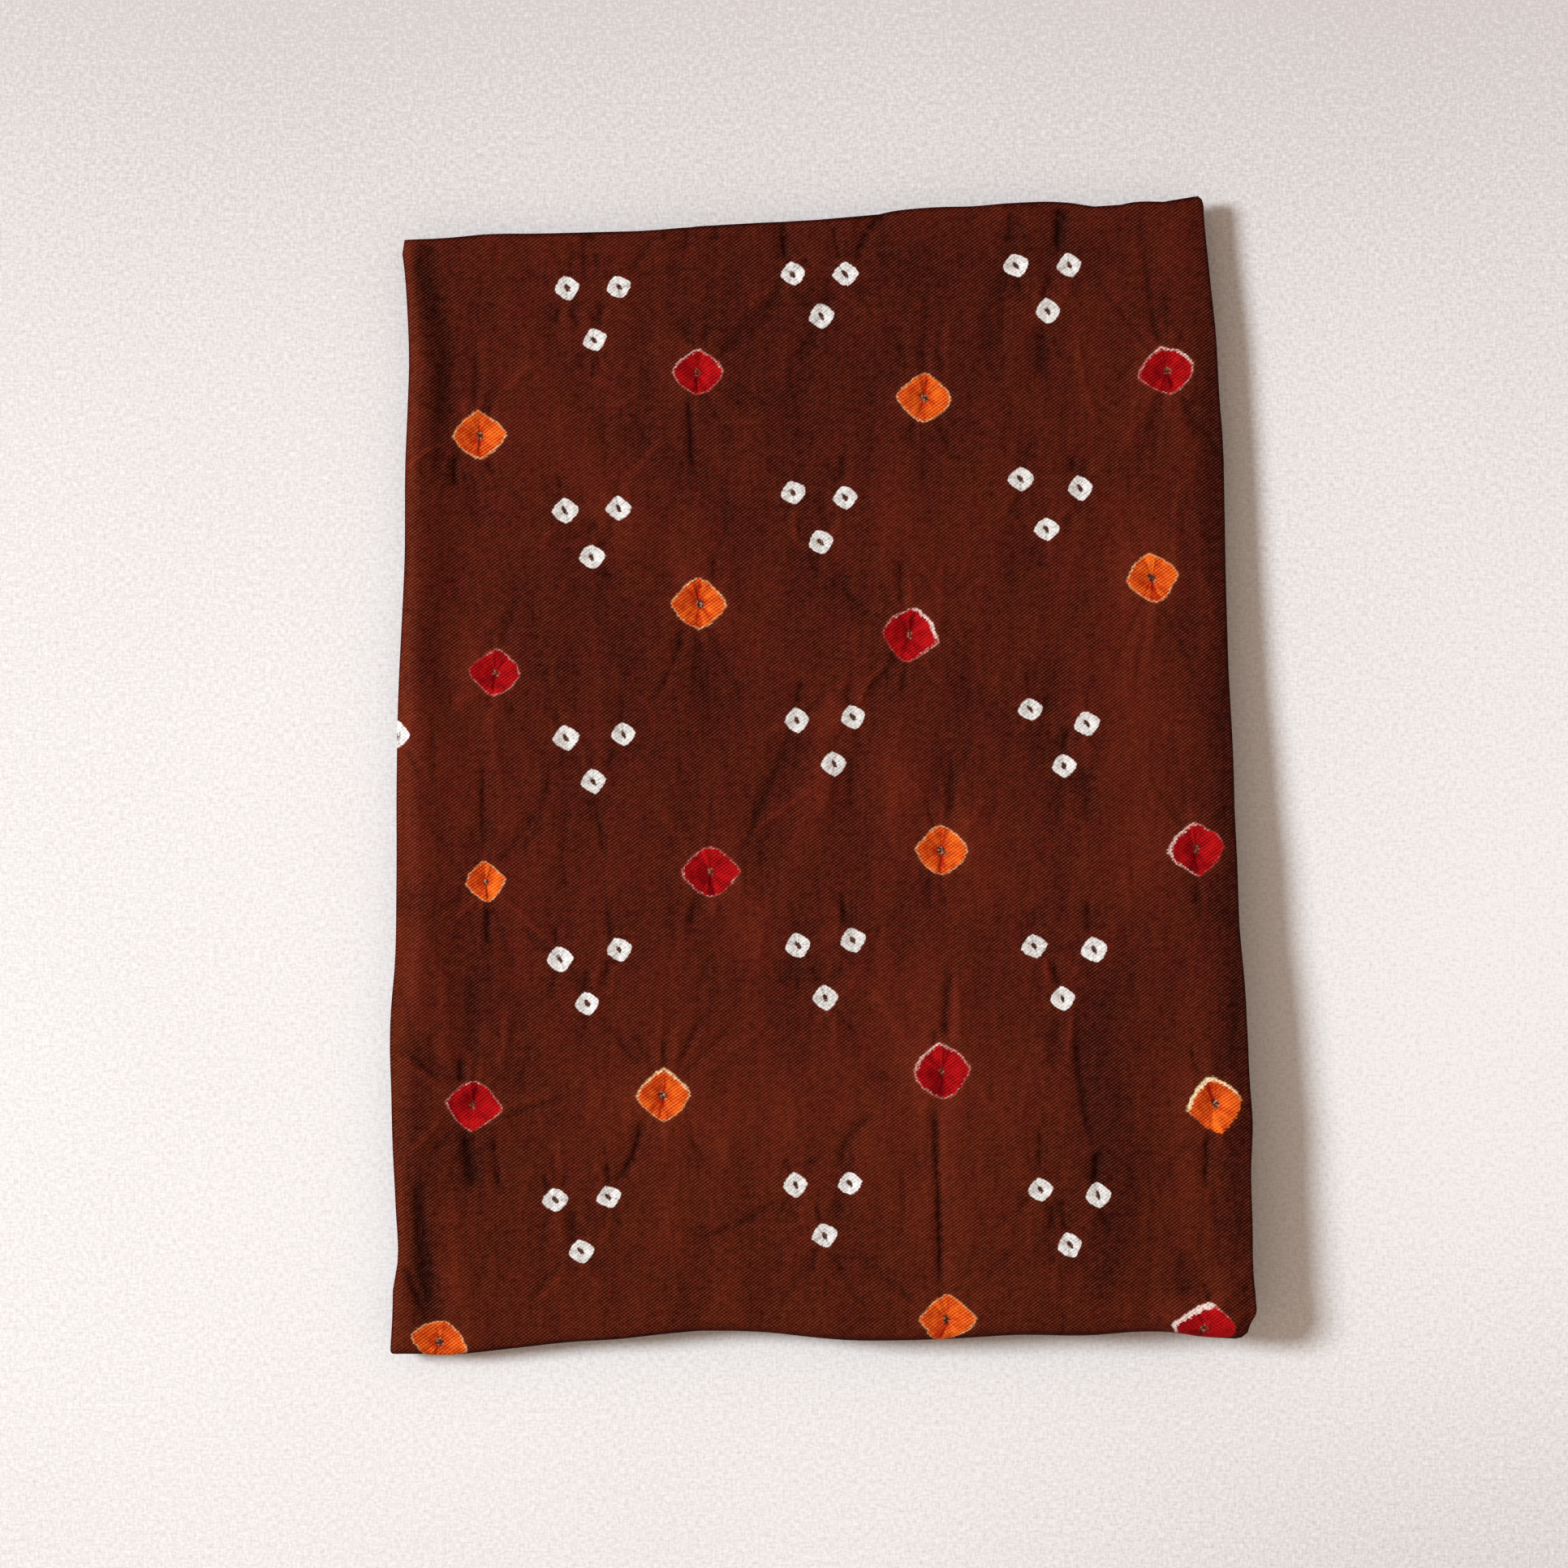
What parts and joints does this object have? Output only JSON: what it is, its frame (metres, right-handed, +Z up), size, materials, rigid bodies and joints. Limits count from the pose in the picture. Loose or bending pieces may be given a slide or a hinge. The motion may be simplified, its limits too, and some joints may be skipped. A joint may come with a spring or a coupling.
{
  "type": "folded bandhani cloth",
  "caption": "Tied and dyed cotton cloth folded into a flat rectangular packet, with rows of small white rings and larger orange and red dots on a dark brown ground.",
  "frame": {"origin": "on the resting plane, under the middle of the packet's bounding box", "axes": "+Z up out of the top layer, +Y along the packet's length towards its back edge where the loose end lies, +X towards the side where the sheet's long edges lie open"},
  "size_m": [0.2934, 0.3928, 0.0204],
  "materials": {
    "dyed_cotton": "matt dark reddish brown plain cotton with a fine visible weave, small undyed white rings, and larger orange and red dots with pale rims"
  },
  "bodies": {
    "root": {"folded_cloth": "dyed_cotton"}
  },
  "joints": []
}
